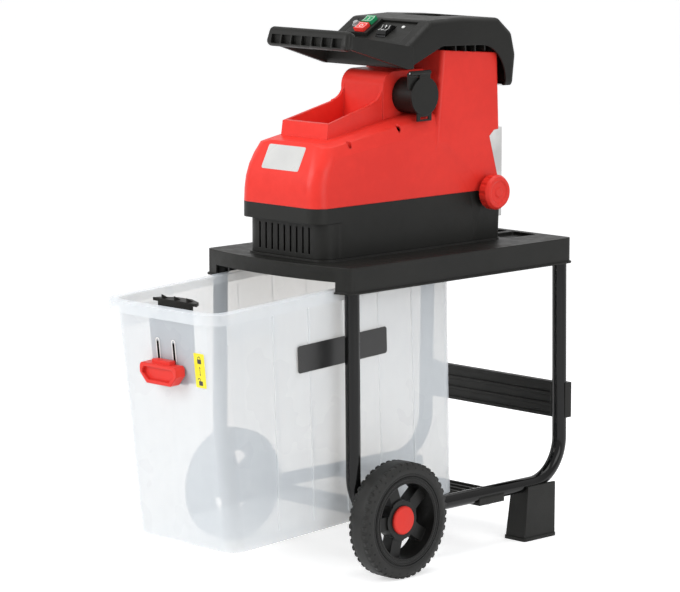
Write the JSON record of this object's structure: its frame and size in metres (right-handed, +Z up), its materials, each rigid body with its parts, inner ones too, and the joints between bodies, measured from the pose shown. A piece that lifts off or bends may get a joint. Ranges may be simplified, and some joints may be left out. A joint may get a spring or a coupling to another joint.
{
  "type": "garden shredder",
  "caption": "Electric roller shredder for garden waste on a wheeled tube stand, with a feed hood and carrying handle, an adjusting knob, a mains inlet and a pull-out collecting bin.",
  "frame": {"origin": "centre of the whole object's footprint box, on the floor", "axes": "+Z up; -Y to the front, where the bin pulls out and the handle is; +X to the side with the mains inlet and the adjusting knob"},
  "size_m": [0.448, 0.818, 0.9116],
  "materials": {
    "black_plastic": "fine-grained black moulding",
    "wheel_plastic": "smooth black moulding",
    "tyre": "matt black solid tyre",
    "tube_paint": "gloss black powder coat on steel tube",
    "red_plastic": "satin red moulding",
    "bin_plastic": "milky translucent moulding",
    "steel": "bright zinc or ground steel",
    "alloy": "cast light alloy",
    "copper": "copper winding and brass contact",
    "green_plastic": "green push cap",
    "grey_plastic": "pale grey push pin"
  },
  "bodies": {
    "stand": {"stand_table": "black_plastic", "left_frame_tube": "tube_paint", "right_frame_tube": "tube_paint", "rear_panel": "black_plastic", "front_brace": "black_plastic", "rear_brace": "black_plastic", "left_foot": "black_plastic", "right_foot": "black_plastic", "frame_screws": "steel", "axle_bolts": "steel", "axle_nuts": "steel", "axle_washers": "steel", "base_housing": "black_plastic", "base_screws": "steel", "upper_cover": "red_plastic", "cover_screws": "steel", "hood": "black_plastic", "feed_chute": "black_plastic", "control_panel": "black_plastic", "switch_box": "black_plastic", "inlet_shroud": "black_plastic", "inlet_insert": "black_plastic", "inlet_contacts": "copper", "lid_pin": "steel", "motor_can": "steel", "motor_end_shield": "alloy", "stator": "copper", "motor_bearings": "steel", "gearbox_case": "alloy", "idler_shaft": "steel", "drum_bearings": "steel", "cutter_housing": "alloy", "adjuster_bush": "black_plastic", "capacitor": "alloy", "interlock_switch": "black_plastic"},
    "left_wheel": {"left_wheel_rim": "wheel_plastic", "left_tyre": "tyre", "left_hub_cap": "red_plastic"},
    "right_wheel": {"right_wheel_rim": "wheel_plastic", "right_tyre": "tyre", "right_hub_cap": "red_plastic"},
    "bin": {"bin_tub": "bin_plastic"},
    "latch": {"latch_plate": "black_plastic", "latch_knob": "red_plastic"},
    "rotor": {"rotor": "steel", "rotor_fan": "black_plastic"},
    "idler": {"idler_gear": "steel"},
    "drum": {"drum_gear": "steel", "drum_shaft": "steel", "cutter_drum": "steel"},
    "adjuster": {"adjuster_screw": "steel", "adjusting_knob": "red_plastic"},
    "plate": {"pressure_plate": "alloy"},
    "lid": {"inlet_lid": "black_plastic"},
    "start": {"start_button": "green_plastic"},
    "stop": {"stop_button": "red_plastic"},
    "reset": {"reset_button": "grey_plastic"},
    "rocker": {"direction_rocker": "black_plastic"}
  },
  "joints": [
    {"name": "left_wheel_spin", "type": "hinge", "parent": "stand", "child": "left_wheel", "pos_m": [-0.201, -0.05439, 0.0975], "axis": [1, 0, 0], "continuous": true},
    {"name": "right_wheel_spin", "type": "hinge", "parent": "stand", "child": "right_wheel", "pos_m": [0.201, -0.05439, 0.0975], "axis": [1, 0, 0], "continuous": true},
    {"name": "bin_slide", "type": "slide", "parent": "stand", "child": "bin", "axis": [0, 0.9986, 0.0523], "range_m": [-0.18, 0.215]},
    {"name": "latch_slide", "type": "slide", "parent": "bin", "child": "latch", "axis": [0, -0.0523, 0.9986], "range_m": [0, 0.02]},
    {"name": "rotor_spin", "type": "hinge", "parent": "stand", "child": "rotor", "pos_m": [0, -0.00939, 0.65], "axis": [0, 1, 0], "continuous": true},
    {"name": "idler_spin", "type": "hinge", "parent": "stand", "child": "idler", "pos_m": [0.03064, 0.10061, 0.61704], "axis": [0, 1, 0], "continuous": true},
    {"name": "drum_spin", "type": "hinge", "parent": "stand", "child": "drum", "pos_m": [-0.022, 0.24061, 0.605], "axis": [0, 1, 0], "continuous": true},
    {"name": "adjuster_turn", "type": "hinge", "parent": "stand", "child": "adjuster", "pos_m": [0.109, 0.26361, 0.609], "axis": [1, 0, 0], "range_deg": [-360, 360]},
    {"name": "plate_slide", "type": "slide", "parent": "stand", "child": "plate", "axis": [1, 0, 0], "range_m": [-0.0021, 0.0021]},
    {"name": "lid_hinge", "type": "hinge", "parent": "stand", "child": "lid", "pos_m": [0.0965, 0.11261, 0.822], "axis": [0, -1, 0], "range_deg": [0, 100]},
    {"name": "start_press", "type": "slide", "parent": "stand", "child": "start", "axis": [0, 0.5045, -0.8634], "range_m": [0, 0.003], "stiffness_N_per_m": 400, "springref_m": -0.002},
    {"name": "stop_press", "type": "slide", "parent": "stand", "child": "stop", "axis": [0, 0.5045, -0.8634], "range_m": [0, 0.003], "stiffness_N_per_m": 400, "springref_m": -0.002},
    {"name": "reset_press", "type": "slide", "parent": "stand", "child": "reset", "axis": [0, 0.5045, -0.8634], "range_m": [0, 0.003], "stiffness_N_per_m": 400, "springref_m": -0.002},
    {"name": "direction_rock", "type": "hinge", "parent": "stand", "child": "rocker", "pos_m": [0.017, 0.10363, 0.88232], "axis": [1, 0, 0], "range_deg": [-8, 8]}
  ],
  "couplings": [
    {"joint": "idler_spin", "follows": "rotor_spin", "ratio": -0.25},
    {"joint": "drum_spin", "follows": "rotor_spin", "ratio": 0.05},
    {"joint": "plate_slide", "follows": "adjuster_turn", "m_per_rad": 0.00031831}
  ]
}
